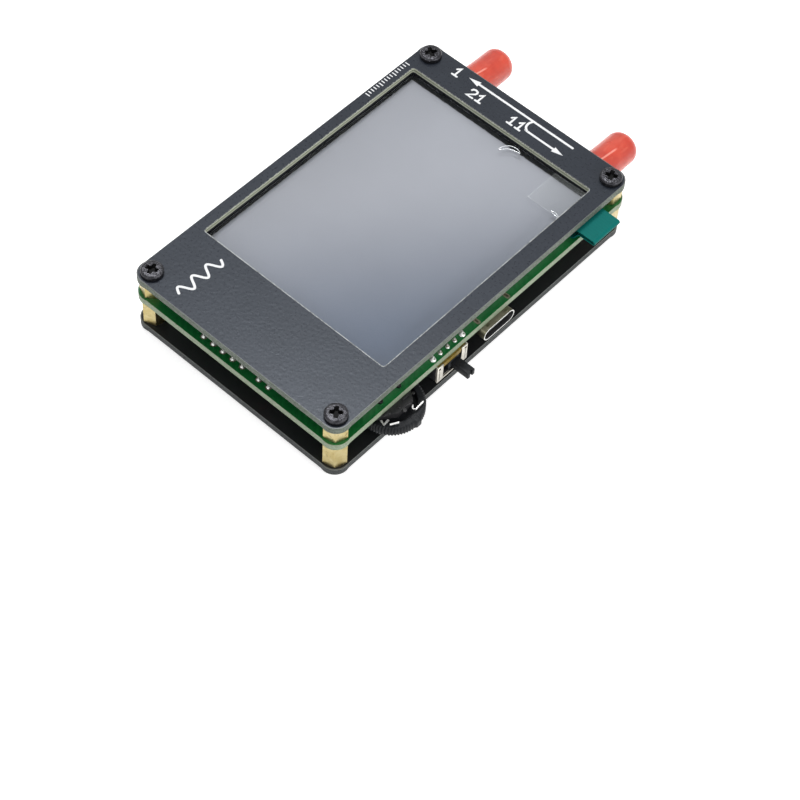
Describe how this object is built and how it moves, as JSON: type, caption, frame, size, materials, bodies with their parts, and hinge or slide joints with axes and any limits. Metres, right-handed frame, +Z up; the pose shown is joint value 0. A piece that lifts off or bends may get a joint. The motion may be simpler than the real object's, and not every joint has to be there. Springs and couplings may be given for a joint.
{
  "type": "antenna analyzer",
  "caption": "Handheld antenna analyzer: two dark panels and a circuit board on brass standoffs, with a touch screen, coax ports under red caps, a jog wheel and a slide switch.",
  "frame": {"origin": "middle of the back panel's underside, the face the bottom screw heads seat on", "axes": "+Z up through the stack towards the screen, +Y towards the coax ports, +X towards the side with the jog wheel, the power switch and the charging socket"},
  "size_m": [0.0586, 0.0957, 0.0173],
  "materials": {
    "panel": "dark grey solder mask on laminate",
    "board": "green solder mask on laminate",
    "black_steel": "black zinc plated steel",
    "brass": "pale plated brass",
    "gold_plate": "gold plated brass",
    "tin_plate": "tin plated spring sheet",
    "sheet_steel": "nickel plated sheet steel",
    "white_plastic": "white moulded plastic",
    "black_plastic": "black moulded plastic",
    "charcoal_plastic": "charcoal moulded plastic, fine grain",
    "amber_laminate": "amber paper laminate",
    "red_vinyl": "soft dipped vinyl, slightly clear",
    "clear_glass": "clear touch glass",
    "clear_film": "thin clear film",
    "display_glass": "unlit display glass",
    "foam": "black foam tape",
    "ribbon": "teal flexible circuit film",
    "pouch_foil": "laminated foil pouch",
    "tape": "double sided tape",
    "red_wire": "red wire sleeve",
    "black_wire": "black wire sleeve",
    "chip_resin": "black moulding compound",
    "led_lens": "milky lens"
  },
  "bodies": {
    "chassis": {"front_panel": "panel", "main_board": "board", "back_panel": "panel", "top_screw_1": "black_steel", "top_screw_2": "black_steel", "top_screw_3": "black_steel", "top_screw_4": "black_steel", "bottom_screw_1": "black_steel", "bottom_screw_2": "black_steel", "bottom_screw_3": "black_steel", "bottom_screw_4": "black_steel", "upper_standoff_1": "brass", "upper_standoff_2": "brass", "upper_standoff_3": "brass", "upper_standoff_4": "brass", "lower_standoff_1": "brass", "lower_standoff_2": "brass", "lower_standoff_3": "brass", "lower_standoff_4": "brass", "display_foam": "foam", "display_tray": "white_plastic", "display_light_guide": "white_plastic", "display_cell": "display_glass", "touch_glass": "clear_glass", "screen_film": "clear_film", "display_ribbon": "ribbon", "port_body_1": "gold_plate", "port_insulator_1": "white_plastic", "port_contact_1": "gold_plate", "port_body_2": "gold_plate", "port_insulator_2": "white_plastic", "port_contact_2": "gold_plate", "usb_shell": "sheet_steel", "usb_tongue": "black_plastic", "power_switch_frame": "sheet_steel", "power_switch_base": "amber_laminate", "jog_base": "black_plastic", "jog_contact_left": "tin_plate", "jog_contact_right": "tin_plate", "battery_tape": "tape", "battery_cell": "pouch_foil", "battery_lead_red": "red_wire", "battery_lead_black": "black_wire", "shield_can": "sheet_steel", "mixer_1": "chip_resin", "mixer_2": "chip_resin", "mixer_3": "chip_resin", "processor": "chip_resin", "clock_generator": "chip_resin", "audio_codec": "chip_resin", "reference_oscillator": "tin_plate", "charge_regulator": "chip_resin", "status_led": "led_lens", "charge_led": "led_lens"},
    "switch_slider": {"power_switch_slider": "charcoal_plastic"},
    "jog_push": {"jog_carriage": "black_plastic"},
    "jog_rotor": {"jog_wheel": "charcoal_plastic"},
    "left_cap": {"dust_cap_1": "red_vinyl"},
    "right_cap": {"dust_cap_2": "red_vinyl"}
  },
  "joints": [
    {"name": "power_switch_slide", "type": "slide", "parent": "chassis", "child": "switch_slider", "axis": [0, 1, 0], "range_m": [-0.0024, 0]},
    {"name": "jog_press", "type": "slide", "parent": "chassis", "child": "jog_push", "axis": [-1, 0, 0], "range_m": [0, 0.0005], "stiffness_N_per_m": 1500},
    {"name": "jog_turn", "type": "hinge", "parent": "jog_push", "child": "jog_rotor", "pos_m": [0.0248, -0.02535, 0.0052], "axis": [0, 0, 1], "range_deg": [-15, 15], "stiffness_Nm_per_rad": 0.01},
    {"name": "left_cap_slide", "type": "slide", "parent": "chassis", "child": "left_cap", "axis": [0, 1, 0], "range_m": [0, 0.012]},
    {"name": "right_cap_slide", "type": "slide", "parent": "chassis", "child": "right_cap", "axis": [0, 1, 0], "range_m": [0, 0.012]}
  ]
}
